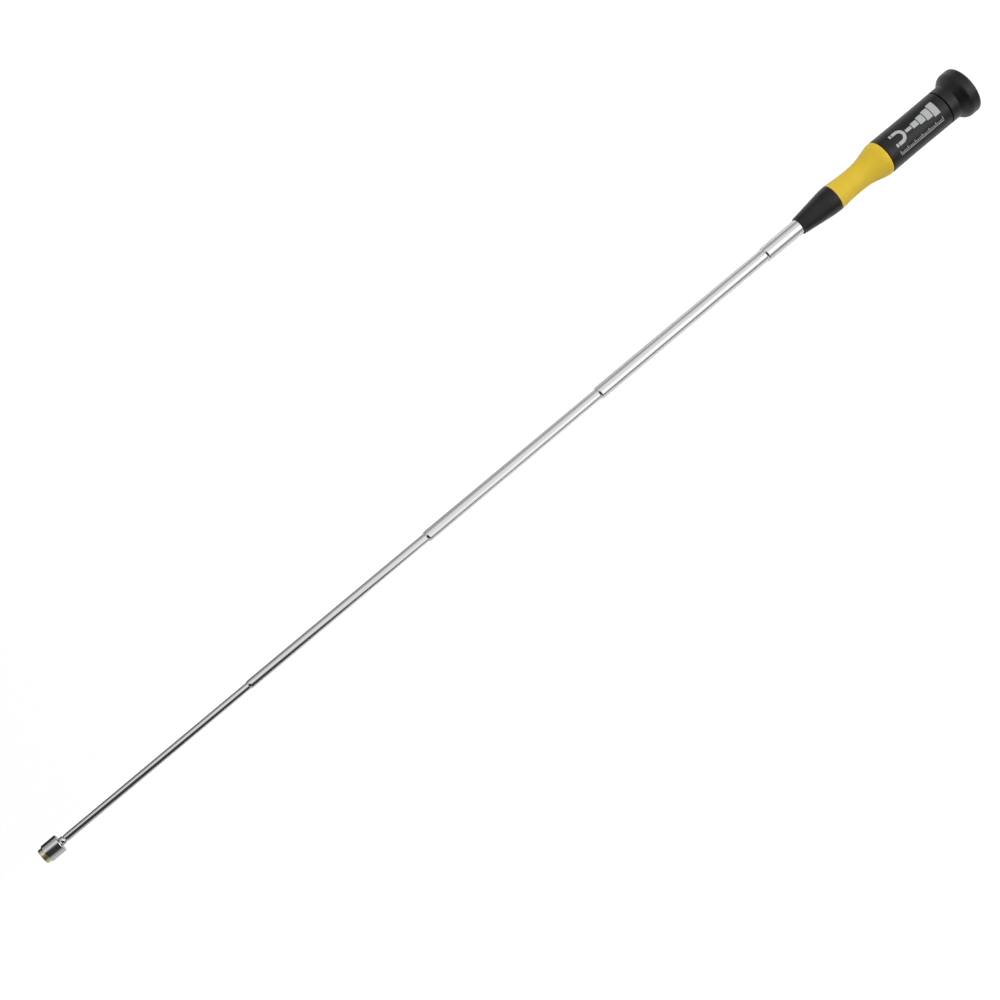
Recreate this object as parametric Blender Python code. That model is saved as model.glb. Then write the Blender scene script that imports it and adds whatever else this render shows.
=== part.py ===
"""Telescoping magnetic pick-up tool, shown pulled out to its full length.

Everything is turned about one line, the X axis. X = 0 is the magnet's working face and +X
runs back along the mast to the handle's flat end. Sizes are in metres.

The mast is five tubes. Tube 1 is fixed in the handle. Tubes 5 to 2 slide back, each into the
next larger one, held by a bowed friction sleeve and stopped by a bush too wide for the rolled
lip in front of it. The rear cap turns freely on a post, kept there by a clip.
"""

import math

import bmesh
import bpy
from mathutils import Matrix

MM = 0.001

# Magnet head
MAGNET_RADIUS = 4.2 * MM
MAGNET_PROUD = 2.5 * MM
MAGNET_SEAT_DEPTH = 6.2 * MM
MAGNET_CHAMFER = 0.4 * MM
CUP_WALL = 0.75 * MM
CUP_LENGTH = 8.9 * MM
CUP_FRONT_CHAMFER = 0.3 * MM
CUP_REAR_ROUND = 0.4 * MM
NECK_LENGTH = 2.7 * MM
COLLAR_STEP = 0.2 * MM
COLLAR_CHAMFER = 0.3 * MM
STUD_STEP = 0.2 * MM
STUD_TAIL = 7.0 * MM

# Mast: tube 1 is the widest. Each tube's radius follows from the one around it.
TUBE_1_RADIUS = 4.5 * MM
TUBE_WALLS = {1: 0.40 * MM, 2: 0.40 * MM, 3: 0.35 * MM, 4: 0.25 * MM, 5: 0.40 * MM}
TUBE_GAPS = {2: 0.30 * MM, 3: 0.30 * MM, 4: 0.30 * MM, 5: 0.20 * MM}
EXPOSED_LENGTH = 121.2 * MM
STUB_LENGTH = 25.6 * MM
CLOSED_GAP = 0.8 * MM
LIP_LENGTH = 1.6 * MM
LIP_LAND = 0.6 * MM
FLARE_HEIGHT = 0.9 * MM
SLEEVE_LENGTH = 5.5 * MM
SLEEVE_STRIP = 0.4
SLEEVE_MOUTH = 2
BUSH_FLANGE = 1.6 * MM
BUSH_SHANK = 1.6 * MM

# Handle
NOSE_LENGTH = 25.5 * MM
NOSE_FRONT_WALL = 0.65 * MM
NOSE_REAR_WALL = 2.1 * MM
NOSE_BAND = 3.2 * MM
NOSE_SOCKET = 10.0 * MM
SOCKET_WALL = 1.3 * MM
CORE_WALL = 2.0 * MM
GRIP_LENGTH = 36.9 * MM
GRIP_FRONT_WALL = 1.45 * MM
GRIP_WAIST_WALL = 0.65 * MM
GRIP_WAIST_AT = 0.38
GRIP_REAR_WALL = 3.8 * MM
GRIP_REAR_ROUND = 1.3 * MM
BARREL_WALL = 3.8 * MM
EDGE_CHAMFER = 0.3 * MM
BARREL_SWELL = 0.15 * MM
PLUG_FLANGE = 1.8 * MM
PLUG_RIM = 2.3 * MM
PLUG_SPIGOT = 3.0 * MM

# Swivel cap
SWIVEL_GAP = 0.7 * MM
WASHER_THICKNESS = 0.46 * MM
WASHER_STEP = 1.1 * MM
CAP_LENGTH = 17.9 * MM
CAP_NECK_LENGTH = 6.2 * MM
CAP_FLARE_LENGTH = 4.2 * MM
CAP_FLARE_DISH = 0.45
CAP_RIM_STEP = 3.7 * MM
CAP_RIM_ROUND = 1.7 * MM
CAP_WEB = 5.2 * MM
CAP_WALL = 2.8 * MM
POST_RADIUS = 4.0 * MM
POST_END = 1.9 * MM
CLIP_THICKNESS = 1.0 * MM
CLIP_GRIP = 0.8 * MM
CLIP_BAND = 1.7 * MM
CLIP_MOUTH = 8
DISC_LEDGE = 1.0 * MM
DISC_THICKNESS = 2.6 * MM
DISC_PROUD = 0.3 * MM
DISC_CHAMFER = 0.4 * MM

# Clearances, each on one side
SLIDE_CLEARANCE = 0.05 * MM
SLEEVE_CLEARANCE = 0.03 * MM
PRESS_CLEARANCE = 0.03 * MM
FIT_CLEARANCE = 0.1 * MM
TURN_CLEARANCE = 0.2 * MM
STOP_GAP = 0.7 * MM
SLEEVE_END_GAP = 0.2 * MM

# Sides of the round pieces. The mouths of the split rings are whole numbers of these sides.
MAST_SIDES = 24
HANDLE_SIDES = 32
BARREL_STEPS = 6
SLEEVE_STEPS = 4
GRIP_STEPS = 10
MERGE = 1e-6

# Tube radii and bores
TUBE_RADII = {1: TUBE_1_RADIUS}
for number in (2, 3, 4, 5):
    outer_tube = number - 1
    TUBE_RADII[number] = TUBE_RADII[outer_tube] - TUBE_WALLS[outer_tube] - TUBE_GAPS[number]
TUBE_BORES = {number: TUBE_RADII[number] - TUBE_WALLS[number] for number in TUBE_RADII}
STUD_RADIUS = TUBE_BORES[5] - STUD_STEP
COLLAR_RADIUS = TUBE_RADII[5] + COLLAR_STEP

# Places along X, from the magnet's face backwards
OVERLAP = LIP_LENGTH + SLEEVE_LENGTH + BUSH_FLANGE + 2.5 * SLEEVE_END_GAP
SECTION_LENGTH = EXPOSED_LENGTH + OVERLAP
TRAVEL = EXPOSED_LENGTH - BUSH_FLANGE - BUSH_SHANK - CLOSED_GAP
CUP_X = MAGNET_PROUD
CUP_REAR_X = CUP_X + CUP_LENGTH
TUBE_X = {5: CUP_REAR_X + NECK_LENGTH}
for number in (4, 3, 2, 1):
    TUBE_X[number] = TUBE_X[number + 1] + EXPOSED_LENGTH
NOSE_X = TUBE_X[1] + STUB_LENGTH
GRIP_X = NOSE_X + NOSE_LENGTH
BARREL_X = GRIP_X + GRIP_LENGTH
CLOSED_REAR_X = TUBE_X[2] + TRAVEL + SECTION_LENGTH
SPIGOT_X = CLOSED_REAR_X + STOP_GAP
TUBE_1_REAR_X = SPIGOT_X + PLUG_SPIGOT - FIT_CLEARANCE
PLUG_X = TUBE_1_REAR_X + TURN_CLEARANCE
PLUG_REAR_X = PLUG_X + PLUG_FLANGE
BARREL_REAR_X = PLUG_REAR_X + TURN_CLEARANCE
CAP_X = BARREL_REAR_X + SWIVEL_GAP
CAP_REAR_X = CAP_X + CAP_LENGTH
END_X = CAP_REAR_X + DISC_PROUD

HANDLE_BORE = TUBE_1_RADIUS + FIT_CLEARANCE
FLARE_RADIUS = TUBE_1_RADIUS + FLARE_HEIGHT
PLUG_RADIUS = TUBE_1_RADIUS + PLUG_RIM
SPIGOT_RADIUS = HANDLE_BORE + SOCKET_WALL
SOCKET_RADIUS = SPIGOT_RADIUS + FIT_CLEARANCE
NOSE_RADIUS = SOCKET_RADIUS + NOSE_REAR_WALL
CORE_RADIUS = HANDLE_BORE + CORE_WALL
GRIP_BORE = CORE_RADIUS + FIT_CLEARANCE
BARREL_RADIUS = CORE_RADIUS + BARREL_WALL
CAP_NECK_RADIUS = BARREL_RADIUS + BARREL_SWELL
CAP_RIM_RADIUS = CAP_NECK_RADIUS + CAP_RIM_STEP

COLOURS = {
    "chrome": ((0.80, 0.80, 0.81), 0.10, 1.0),
    "gold_plating": ((0.83, 0.66, 0.30), 0.22, 1.0),
    "turned_brass": ((0.72, 0.55, 0.28), 0.30, 1.0),
    "spring_bronze": ((0.66, 0.42, 0.24), 0.34, 1.0),
    "spring_steel": ((0.42, 0.42, 0.44), 0.32, 1.0),
    "black_plastic": ((0.022, 0.022, 0.022), 0.42, 0.0),
    "yellow_rubber": ((0.72, 0.50, 0.03), 0.58, 0.0),
    "natural_nylon": ((0.62, 0.60, 0.54), 0.50, 0.0),
}


def clear_scene():
    for obj in list(bpy.data.objects):
        bpy.data.objects.remove(obj, do_unlink=True)


def make_material(name):
    colour, roughness, metallic = COLOURS[name]
    material = bpy.data.materials.new(name)
    material.use_nodes = True
    shader = material.node_tree.nodes["Principled BSDF"]
    shader.inputs["Base Color"].default_value = (*colour, 1.0)
    shader.inputs["Roughness"].default_value = roughness
    shader.inputs["Metallic"].default_value = metallic
    return material


def make_body(name, x):
    """The empty that a rigid group hangs on, on the tool's axis."""
    body = bpy.data.objects.new(name, None)
    bpy.context.scene.collection.objects.link(body)
    body.location = (x, 0.0, 0.0)
    return body


def finish_piece(name, builder, x, material, body):
    """Turns a finished bmesh into a named object that sits at x on the axis, under its body."""
    bmesh.ops.remove_doubles(builder, verts=builder.verts, dist=MERGE)
    bmesh.ops.recalc_face_normals(builder, faces=builder.faces)
    mesh = bpy.data.meshes.new(name)
    builder.to_mesh(mesh)
    builder.free()
    mesh.materials.append(material)
    mesh.shade_smooth()
    mesh.set_sharp_from_angle(angle=math.radians(32))
    piece = bpy.data.objects.new(name, mesh)
    bpy.context.scene.collection.objects.link(piece)
    piece.parent = body
    piece.location = (x - body.location.x, 0.0, 0.0)
    return piece


def outline_edges(builder, outline, closed):
    verts = [builder.verts.new((x, 0.0, radius)) for x, radius in outline]
    pairs = list(zip(verts, verts[1:]))
    if closed:
        pairs.append((verts[-1], verts[0]))
    return verts + [builder.edges.new(pair) for pair in pairs]


def turned(name, outline, x, material, body, sides):
    """A turned piece. An outline that starts and ends on the axis is solid, any other is a ring."""
    builder = bmesh.new()
    on_axis = outline[0][1] == 0.0 and outline[-1][1] == 0.0
    profile = outline_edges(builder, outline, not on_axis)
    bmesh.ops.spin(
        builder, geom=profile, cent=(0, 0, 0), axis=(1, 0, 0), dvec=(0, 0, 0),
        angle=math.tau, steps=sides, use_merge=True,
    )
    return finish_piece(name, builder, x, material, body)


def split_ring(name, outline, mouth, x, material, body, sides):
    """A turned ring that leaves out some of its sides, centred below the axis, as its mouth."""
    builder = bmesh.new()
    profile = outline_edges(builder, outline, True)
    half_mouth = math.tau * mouth / sides / 2
    bmesh.ops.rotate(
        builder, verts=builder.verts, cent=(0, 0, 0),
        matrix=Matrix.Rotation(math.pi + half_mouth, 3, "X"),
    )
    bmesh.ops.spin(
        builder, geom=profile, cent=(0, 0, 0), axis=(1, 0, 0), dvec=(0, 0, 0),
        angle=math.tau - 2 * half_mouth, steps=sides - mouth, use_merge=False,
    )
    bmesh.ops.holes_fill(builder, edges=builder.edges, sides=0)
    return finish_piece(name, builder, x, material, body)


def arc(x, radius, reach_x, reach_radius, start, stop, steps):
    """Points on an elliptical arc about (x, radius). Angles are in degrees, 0 along +X."""
    points = []
    for step in range(steps + 1):
        angle = math.radians(start + (stop - start) * step / steps)
        points.append((x + reach_x * math.cos(angle), radius + reach_radius * math.sin(angle)))
    return points


def make_magnet(materials, body):
    length = MAGNET_PROUD + MAGNET_SEAT_DEPTH - FIT_CLEARANCE
    outline = [
        (0.0, 0.0),
        (0.0, MAGNET_RADIUS - MAGNET_CHAMFER),
        (MAGNET_CHAMFER, MAGNET_RADIUS),
        (length, MAGNET_RADIUS),
        (length, 0.0),
    ]
    turned("magnet", outline, 0.0, materials["gold_plating"], body, MAST_SIDES)


def make_cup(materials, body):
    """The steel cup around the magnet. The stud is riveted through its floor."""
    seat = MAGNET_RADIUS + PRESS_CLEARANCE
    radius = seat + CUP_WALL
    hole = STUD_RADIUS + PRESS_CLEARANCE
    outline = [
        (0.0, seat),
        (0.0, radius - CUP_FRONT_CHAMFER),
        (CUP_FRONT_CHAMFER, radius),
    ]
    outline += arc(
        CUP_LENGTH - CUP_REAR_ROUND, radius - CUP_REAR_ROUND,
        CUP_REAR_ROUND, CUP_REAR_ROUND, 90, 0, 3,
    )
    outline += [(CUP_LENGTH, hole), (MAGNET_SEAT_DEPTH, hole), (MAGNET_SEAT_DEPTH, seat)]
    turned("magnet_cup", outline, CUP_X, materials["chrome"], body, MAST_SIDES)


def make_stud(materials, body):
    """Joins the cup to tube 5: a rivet end, a collar that shows, and a tail in the tube."""
    rivet = CUP_LENGTH - MAGNET_SEAT_DEPTH - FIT_CLEARANCE
    collar_start = rivet + FIT_CLEARANCE
    collar_end = rivet + NECK_LENGTH - FIT_CLEARANCE
    outline = [
        (0.0, 0.0),
        (0.0, STUD_RADIUS),
        (collar_start, STUD_RADIUS),
        (collar_start, COLLAR_RADIUS - COLLAR_CHAMFER),
        (collar_start + COLLAR_CHAMFER, COLLAR_RADIUS),
        (collar_end - COLLAR_CHAMFER, COLLAR_RADIUS),
        (collar_end, COLLAR_RADIUS - COLLAR_CHAMFER),
        (collar_end, STUD_RADIUS),
        (collar_end + STUD_TAIL, STUD_RADIUS),
        (collar_end + STUD_TAIL, 0.0),
    ]
    turned("head_stud", outline, CUP_REAR_X - rivet, materials["chrome"], body, MAST_SIDES)


def lip_radius(number):
    """The hole in a tube's rolled front lip: it guides the next tube, or grips the stud."""
    if number == 5:
        return STUD_RADIUS + PRESS_CLEARANCE
    return TUBE_RADII[number + 1] + SLIDE_CLEARANCE


def rolled_lip(number):
    """Outside of the rolled front end, from the lip's hole out to the tube's wall."""
    hole = lip_radius(number)
    rise = TUBE_RADII[number] - hole
    return arc(LIP_LENGTH, hole, LIP_LENGTH, rise, 180, 90, 4)


def tube_outline(number, length, flared):
    radius = TUBE_RADII[number]
    bore = TUBE_BORES[number]
    outline = rolled_lip(number)
    if flared:
        outline += [
            (length - FLARE_HEIGHT, radius),
            (length, FLARE_RADIUS),
            (length, FLARE_RADIUS - TUBE_WALLS[number]),
            (length - FLARE_HEIGHT, bore),
        ]
    else:
        outline += [(length, radius), (length, bore)]
    outline += [(LIP_LENGTH + FIT_CLEARANCE, bore), (LIP_LAND, lip_radius(number))]
    return outline


def make_section(number, materials, body):
    """One sliding tube with the bush in its rear end and the friction sleeve around it."""
    around = TUBE_BORES[number - 1]
    radius = TUBE_RADII[number]
    tube_length = SECTION_LENGTH - BUSH_FLANGE - PRESS_CLEARANCE
    start = TUBE_X[number]
    turned(
        f"tube_{number}", tube_outline(number, tube_length, False),
        start, materials["chrome"], body, MAST_SIDES,
    )

    shank = TUBE_BORES[number] - PRESS_CLEARANCE
    flange = around - SLIDE_CLEARANCE
    hole = shank / 2
    bush = [
        (0.0, hole),
        (0.0, shank),
        (BUSH_SHANK, shank),
        (BUSH_SHANK, flange),
        (BUSH_SHANK + BUSH_FLANGE, flange),
        (BUSH_SHANK + BUSH_FLANGE, hole),
    ]
    bush_x = start + SECTION_LENGTH - BUSH_FLANGE - BUSH_SHANK
    turned(f"end_bush_{number}", bush, bush_x, materials["turned_brass"], body, MAST_SIDES)

    inner = radius + SLEEVE_CLEARANCE
    strip = SLEEVE_STRIP * (around - radius)
    bow = around - SLEEVE_CLEARANCE - inner - strip
    sleeve = []
    for step in range(SLEEVE_STEPS + 1):
        share = step / SLEEVE_STEPS
        height = bow * math.sin(math.pi * share)
        sleeve.append((share * SLEEVE_LENGTH, inner + strip + height))
    sleeve += [(at, outside - strip) for at, outside in reversed(sleeve)]
    sleeve_x = bush_x + BUSH_SHANK - SLEEVE_END_GAP - SLEEVE_LENGTH
    split_ring(
        f"friction_sleeve_{number}", sleeve, SLEEVE_MOUTH,
        sleeve_x, materials["spring_bronze"], body, MAST_SIDES,
    )


def make_fixed_tube(materials, body):
    """Tube 1. Its rear end is flared, and trapped between the barrel and the rear plug."""
    length = TUBE_1_REAR_X - TUBE_X[1]
    turned(
        "tube_1", tube_outline(1, length, True),
        TUBE_X[1], materials["chrome"], body, MAST_SIDES,
    )


def make_nose(materials, body):
    front = HANDLE_BORE + NOSE_FRONT_WALL
    edge = NOSE_FRONT_WALL / 2
    length = NOSE_LENGTH - FIT_CLEARANCE
    outline = [
        (0.0, HANDLE_BORE),
        (0.0, front - edge),
        (edge, front),
        (length - NOSE_BAND, NOSE_RADIUS - FIT_CLEARANCE / 2),
        (length - NOSE_BAND / 2, NOSE_RADIUS),
        (length - edge, NOSE_RADIUS),
        (length, NOSE_RADIUS - edge),
        (length, SOCKET_RADIUS),
        (length - NOSE_SOCKET, SOCKET_RADIUS),
        (length - NOSE_SOCKET, HANDLE_BORE),
    ]
    turned("nose_cone", outline, NOSE_X, materials["black_plastic"], body, HANDLE_SIDES)


def grip_wall(share):
    """The grip's thickness at a share of its length: thin at a waist, thickest at the barrel."""
    if share < GRIP_WAIST_AT:
        dip = 1 - share / GRIP_WAIST_AT
        return GRIP_WAIST_WALL + (GRIP_FRONT_WALL - GRIP_WAIST_WALL) * dip ** 1.5
    swell_end = 1 - GRIP_REAR_ROUND / GRIP_LENGTH
    along = min(1.0, (share - GRIP_WAIST_AT) / (swell_end - GRIP_WAIST_AT)) ** 1.6
    eased = along * along * (3 - 2 * along)
    return GRIP_WAIST_WALL + (GRIP_REAR_WALL - GRIP_WAIST_WALL) * eased


def make_grip(materials, body):
    """The soft sleeve on the handle's core, held between the nose and the barrel's shoulder."""
    length = GRIP_LENGTH - 2 * FIT_CLEARANCE
    round_start = length - GRIP_REAR_ROUND
    outline = []
    for step in range(GRIP_STEPS + 1):
        along = step / GRIP_STEPS * round_start
        outline.append((along, GRIP_BORE + grip_wall(along / GRIP_LENGTH)))
    drop = min(GRIP_REAR_ROUND, GRIP_REAR_WALL) / 2
    shoulder = GRIP_BORE + GRIP_REAR_WALL - drop
    outline += arc(round_start, shoulder, GRIP_REAR_ROUND, drop, 60, 0, 2)
    outline += [(length, GRIP_BORE), (0.0, GRIP_BORE)]
    turned(
        "grip_sleeve", outline, GRIP_X + FIT_CLEARANCE,
        materials["yellow_rubber"], body, HANDLE_SIDES,
    )


def make_barrel(materials, body):
    """Barrel and core in one moulding: spigot for the nose, core for the grip, rear counterbore.

    The barrel's side is very slightly waisted.
    """
    spigot_front = GRIP_X - NOSE_SOCKET + FIT_CLEARANCE
    core_start = GRIP_X + FIT_CLEARANCE - spigot_front
    barrel_start = BARREL_X - spigot_front
    rear = BARREL_REAR_X - spigot_front
    flare_seat = TUBE_1_REAR_X - FLARE_HEIGHT - FIT_CLEARANCE - spigot_front
    counterbore = PLUG_RADIUS + FIT_CLEARANCE
    end_radius = BARREL_RADIUS + BARREL_SWELL
    side_start = barrel_start + EDGE_CHAMFER
    side_end = rear - EDGE_CHAMFER
    outline = [
        (0.0, HANDLE_BORE),
        (0.0, SPIGOT_RADIUS - EDGE_CHAMFER),
        (EDGE_CHAMFER, SPIGOT_RADIUS),
        (core_start, SPIGOT_RADIUS),
        (core_start, CORE_RADIUS),
        (barrel_start, CORE_RADIUS),
        (barrel_start, end_radius - EDGE_CHAMFER),
    ]
    for step in range(BARREL_STEPS + 1):
        share = step / BARREL_STEPS
        radius = BARREL_RADIUS + BARREL_SWELL * (2 * share - 1) ** 2
        outline.append((side_start + (side_end - side_start) * share, radius))
    outline += [
        (rear, end_radius - EDGE_CHAMFER),
        (rear, counterbore),
        (flare_seat, counterbore),
        (flare_seat, HANDLE_BORE),
    ]
    turned("handle_barrel", outline, spigot_front, materials["black_plastic"], body, HANDLE_SIDES)


def make_rear_plug(materials, body):
    """Closes tube 1, fills the barrel's counterbore and carries the post the cap turns on."""
    spigot = TUBE_BORES[1] - SLIDE_CLEARANCE
    flange_start = PLUG_X - SPIGOT_X
    flange_end = PLUG_REAR_X - SPIGOT_X
    groove_start = CAP_X + CAP_WEB + FIT_CLEARANCE - SPIGOT_X
    groove_end = groove_start + CLIP_THICKNESS + 2 * FIT_CLEARANCE
    groove = POST_RADIUS - CLIP_GRIP
    post_end = groove_end + POST_END
    outline = [
        (0.0, 0.0),
        (0.0, spigot),
        (flange_start, spigot),
        (flange_start, PLUG_RADIUS),
        (flange_end, PLUG_RADIUS),
        (flange_end, POST_RADIUS),
        (groove_start, POST_RADIUS),
        (groove_start, groove),
        (groove_end, groove),
        (groove_end, POST_RADIUS),
        (post_end - CLIP_GRIP, POST_RADIUS),
        (post_end, POST_RADIUS - CLIP_GRIP),
        (post_end, 0.0),
    ]
    turned("rear_plug", outline, SPIGOT_X, materials["natural_nylon"], body, HANDLE_SIDES)


def make_thrust_washer(materials, body):
    hole = POST_RADIUS + TURN_CLEARANCE
    radius = PLUG_RADIUS + WASHER_STEP
    outline = [
        (0.0, hole),
        (0.0, radius),
        (WASHER_THICKNESS, radius),
        (WASHER_THICKNESS, hole),
    ]
    washer_x = BARREL_REAR_X + (SWIVEL_GAP - WASHER_THICKNESS) / 2
    turned("thrust_washer", outline, washer_x, materials["natural_nylon"], body, HANDLE_SIDES)


def make_retaining_clip(materials, body):
    inner = POST_RADIUS - CLIP_GRIP + FIT_CLEARANCE
    outer = inner + CLIP_BAND + CLIP_GRIP
    outline = [
        (0.0, inner),
        (0.0, outer),
        (CLIP_THICKNESS, outer),
        (CLIP_THICKNESS, inner),
    ]
    clip_x = CAP_X + CAP_WEB + 2 * FIT_CLEARANCE
    split_ring(
        "retaining_clip", outline, CLIP_MOUTH,
        clip_x, materials["spring_steel"], body, HANDLE_SIDES,
    )


def make_swivel_cap(materials, body):
    """The turning cap: a necked shell with a web that runs on the post, open at the rear."""
    bore = POST_RADIUS + TURN_CLEARANCE
    cavity = CAP_NECK_RADIUS - CAP_WALL
    pocket = cavity + DISC_LEDGE
    pocket_floor = CAP_LENGTH + DISC_PROUD - DISC_THICKNESS - FIT_CLEARANCE
    flare_end = CAP_NECK_LENGTH + CAP_FLARE_LENGTH
    rise = CAP_RIM_RADIUS - CAP_NECK_RADIUS
    outline = [
        (0.0, bore),
        (0.0, CAP_NECK_RADIUS - EDGE_CHAMFER),
        (EDGE_CHAMFER, CAP_NECK_RADIUS),
        (CAP_NECK_LENGTH, CAP_NECK_RADIUS),
        (CAP_NECK_LENGTH + CAP_FLARE_LENGTH / 2, CAP_NECK_RADIUS + CAP_FLARE_DISH * rise),
        (flare_end - EDGE_CHAMFER, CAP_RIM_RADIUS - EDGE_CHAMFER),
        (flare_end + EDGE_CHAMFER, CAP_RIM_RADIUS),
    ]
    outline += arc(
        CAP_LENGTH - CAP_RIM_ROUND, CAP_RIM_RADIUS - CAP_RIM_ROUND,
        CAP_RIM_ROUND, CAP_RIM_ROUND, 90, 0, 3,
    )
    outline += [
        (CAP_LENGTH, pocket),
        (pocket_floor, pocket),
        (pocket_floor, cavity),
        (CAP_WEB, cavity),
        (CAP_WEB, bore),
    ]
    turned("swivel_cap", outline, CAP_X, materials["black_plastic"], body, HANDLE_SIDES)


def make_end_disc(materials, body):
    """Snaps into the cap's rear pocket. Its outer face is the tool's flat end."""
    radius = CAP_NECK_RADIUS - CAP_WALL + DISC_LEDGE - FIT_CLEARANCE
    outline = [
        (0.0, 0.0),
        (0.0, radius),
        (DISC_THICKNESS - DISC_CHAMFER, radius),
        (DISC_THICKNESS, radius - DISC_CHAMFER),
        (DISC_THICKNESS, 0.0),
    ]
    turned(
        "cap_end_disc", outline, END_X - DISC_THICKNESS,
        materials["black_plastic"], body, HANDLE_SIDES,
    )


def build():
    clear_scene()
    materials = {name: make_material(name) for name in COLOURS}

    handle = make_body("handle", NOSE_X)
    make_fixed_tube(materials, handle)
    make_nose(materials, handle)
    make_grip(materials, handle)
    make_barrel(materials, handle)
    make_rear_plug(materials, handle)
    make_thrust_washer(materials, handle)
    make_retaining_clip(materials, handle)

    cap = make_body("cap", CAP_X)
    make_swivel_cap(materials, cap)
    make_end_disc(materials, cap)

    sections = {}
    for section in (2, 3, 4, 5):
        sections[section] = make_body(f"section_{section}", TUBE_X[section])
        make_section(section, materials, sections[section])

    make_stud(materials, sections[5])
    make_cup(materials, sections[5])
    make_magnet(materials, sections[5])


build()
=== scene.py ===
import math

import bmesh
import bpy
from mathutils import Matrix, Vector


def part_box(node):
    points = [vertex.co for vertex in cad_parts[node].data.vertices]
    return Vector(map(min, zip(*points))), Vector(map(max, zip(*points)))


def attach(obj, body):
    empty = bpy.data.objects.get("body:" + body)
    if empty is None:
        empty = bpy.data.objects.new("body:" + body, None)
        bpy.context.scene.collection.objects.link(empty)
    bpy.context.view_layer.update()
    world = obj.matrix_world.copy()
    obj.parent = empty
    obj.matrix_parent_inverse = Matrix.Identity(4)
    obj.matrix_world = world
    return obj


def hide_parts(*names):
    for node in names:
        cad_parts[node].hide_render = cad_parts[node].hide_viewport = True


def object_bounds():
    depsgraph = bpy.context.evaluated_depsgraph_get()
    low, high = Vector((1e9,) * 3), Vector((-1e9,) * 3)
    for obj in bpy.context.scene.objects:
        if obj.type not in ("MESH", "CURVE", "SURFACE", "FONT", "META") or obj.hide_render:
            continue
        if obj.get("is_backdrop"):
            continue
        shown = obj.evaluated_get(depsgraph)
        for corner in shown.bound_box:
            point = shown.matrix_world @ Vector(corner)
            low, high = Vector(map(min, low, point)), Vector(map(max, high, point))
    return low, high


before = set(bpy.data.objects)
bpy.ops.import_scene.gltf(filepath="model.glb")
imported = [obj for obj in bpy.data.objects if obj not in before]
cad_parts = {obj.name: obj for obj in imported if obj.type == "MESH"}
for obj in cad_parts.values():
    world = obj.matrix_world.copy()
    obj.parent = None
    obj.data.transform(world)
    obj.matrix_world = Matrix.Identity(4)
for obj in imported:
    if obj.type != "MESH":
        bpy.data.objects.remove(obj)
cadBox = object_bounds()
print("frame loaded:", len(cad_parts), "nodes")

mm = 0.001
roundSides = 96    # sides of a full turn
cornerSteps = 4    # segments of a rounded corner
sharpAngle = 42    # edges bent by more degrees than this stay crisp
flatAngle = 1      # faces bent by fewer degrees than this count as one
weldGap = 1e-7     # points this close become one, in metres
sectionGap = 1e-5  # points this close along the axis lie on one ring


def reach(node):
    # first x, last x and outer radius of a turned node, read from the frame
    low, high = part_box(node)
    return low.x, high.x, high.z


def radiusAt(node, x, pick=max):
    # outer (max) or inner (min) radius of a turned node at the ring of points at x
    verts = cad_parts[node].data.vertices
    return pick(math.hypot(v.co.y, v.co.z) for v in verts if abs(v.co.x - x) < sectionGap)


def ringsOf(node):
    # the x of every ring of points of a turned node, in order
    found = []
    for x in sorted(v.co.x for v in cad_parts[node].data.vertices):
        if not found or x - found[-1] > sectionGap:
            found.append(x)
    return found


def arc(x, radius, reachX, reachRadius, start, stop, steps):
    # outline points on an elliptical arc; angles in degrees, 0 along +X
    points = []
    for step in range(steps + 1):
        angle = math.radians(start + (stop - start) * step / steps)
        points.append((x + reachX * math.cos(angle), radius + reachRadius * math.sin(angle)))
    return points


def roundOff(shape, corners, sizes):
    # rounds the chosen corners of an outline, equal sizes together
    for size in sorted(set(sizes) - {0}):
        chosen = [corner for corner, own in zip(corners, sizes) if own == size]
        bmesh.ops.bevel(
            shape, geom=chosen, affect="VERTICES", offset=size,
            segments=cornerSteps, profile=0.5, material=-1,
        )


def intoPiece(shape, name):
    bmesh.ops.remove_doubles(shape, verts=shape.verts, dist=weldGap)
    bmesh.ops.recalc_face_normals(shape, faces=shape.faces)
    mesh = bpy.data.meshes.new(name)
    shape.to_mesh(mesh)
    shape.free()
    mesh.shade_smooth()
    mesh.set_sharp_from_angle(angle=math.radians(sharpAngle))
    piece = bpy.data.objects.new(name, mesh)
    bpy.context.scene.collection.objects.link(piece)
    return piece


def spinRound(shape, angle=math.tau):
    # a full turn is closed, a part of one is left open
    bmesh.ops.spin(
        shape, geom=shape.verts[:] + shape.edges[:], cent=(0, 0, 0), axis=(1, 0, 0),
        dvec=(0, 0, 0), angle=angle, steps=roundSides, use_merge=angle == math.tau,
    )


def turned(name, outline):
    # an outline of (x, radius) or (x, radius, corner size) spun about the tool's axis
    shape = bmesh.new()
    corners = [shape.verts.new((point[0], 0, point[1])) for point in outline]
    for pair in zip(corners, corners[1:]):
        shape.edges.new(pair)
    if outline[0][1] > 0:
        shape.edges.new((corners[-1], corners[0]))
    roundOff(shape, corners, [point[2] if len(point) > 2 else 0 for point in outline])
    spinRound(shape)
    piece = intoPiece(shape, name)
    even = piece.modifiers.new("evenNormals", "WEIGHTED_NORMAL")
    even.keep_sharp = True
    return piece


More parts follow.
